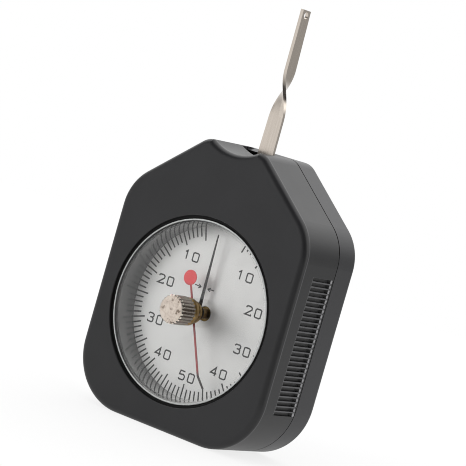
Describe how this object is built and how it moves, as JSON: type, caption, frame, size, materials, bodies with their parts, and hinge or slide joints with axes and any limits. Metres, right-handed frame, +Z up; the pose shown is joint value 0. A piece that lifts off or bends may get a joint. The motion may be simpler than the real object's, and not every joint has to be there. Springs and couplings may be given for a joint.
{
  "type": "dial tension gauge",
  "caption": "Hand-held dial tension gauge: flat case with sloping shoulders, clear dial, peak pointer with knurled reset knob, and a twisted measuring arm.",
  "frame": {"origin": "middle of the flat foot of the case, halfway between its sides and between its front and back faces", "axes": "+Z up along the measuring arm, +X to the right as the dial is read, so the dial faces -Y and +Y is the back"},
  "size_m": [0.0658, 0.0356, 0.1259],
  "materials": {
    "abs_black": "moulded ABS, fine satin grain",
    "screw_steel": "zinc plated, satin",
    "acrylic_clear": "clear moulded acrylic, polished",
    "gasket_rubber": "matt",
    "dial_silver": "fine satin silver, printed black scale",
    "plate_brass": "lapped brass",
    "turned_brass": "turned brass",
    "turned_steel": "turned and polished steel",
    "strip_nickel": "nickel-plated steel strip, satin",
    "spring_steel": "tempered spring steel, blued",
    "hairspring_bronze": "rolled phosphor bronze",
    "knob_nickel": "nickel-plated turned brass, straight knurled",
    "needle_black": "matt black paint on aluminium",
    "peak_red": "gloss red paint on aluminium"
  },
  "bodies": {
    "case": {"front_shell": "abs_black", "rear_shell": "abs_black", "shell_screws": "screw_steel", "crystal": "acrylic_clear", "crystal_gasket": "gasket_rubber", "dial_plate": "dial_silver", "dial_feet": "turned_brass", "front_plate": "plate_brass", "rear_plate": "plate_brass", "plate_pillars": "turned_brass", "pillar_screws": "screw_steel", "movement_screws": "screw_steel", "arm_bushes": "turned_brass", "pointer_bushes": "turned_brass", "stop_pins": "turned_steel", "measuring_spring": "spring_steel", "spring_stud": "turned_brass", "hairspring": "hairspring_bronze", "hairspring_stud": "turned_brass", "knob_bush": "turned_brass", "bush_nut": "turned_brass", "friction_washer": "spring_steel"},
    "arm": {"arm_arbor": "turned_steel", "arm_hub": "turned_brass", "measuring_arm": "strip_nickel", "sector_gear": "plate_brass", "arm_screws": "screw_steel", "spring_collet": "turned_brass"},
    "pointer": {"pointer_arbor": "turned_steel", "pinion": "turned_steel", "hairspring_collet": "turned_brass", "needle_hub": "turned_brass", "needle": "needle_black"},
    "peak_hand": {"reset_knob": "knob_nickel", "knob_shaft": "turned_steel", "peak_collar": "turned_brass", "peak_pointer": "peak_red"}
  },
  "joints": [
    {"name": "arm_swing", "type": "hinge", "parent": "case", "child": "arm", "pos_m": [0, 0.00245, 0.06574], "axis": [0, 1, 0], "range_deg": [-15, 15], "stiffness_Nm_per_rad": 0.112, "deforming": ["measuring_spring"]},
    {"name": "pointer_turn", "type": "hinge", "parent": "case", "child": "pointer", "pos_m": [0, -0.005, 0.03474], "axis": [0, 1, 0], "range_deg": [-180, 180], "deforming": ["hairspring"]},
    {"name": "knob_turn", "type": "hinge", "parent": "case", "child": "peak_hand", "pos_m": [0, -0.014, 0.03474], "axis": [0, 1, 0], "range_deg": [-154, 200]}
  ],
  "couplings": [
    {"joint": "pointer_turn", "follows": "arm_swing", "ratio": -12}
  ]
}
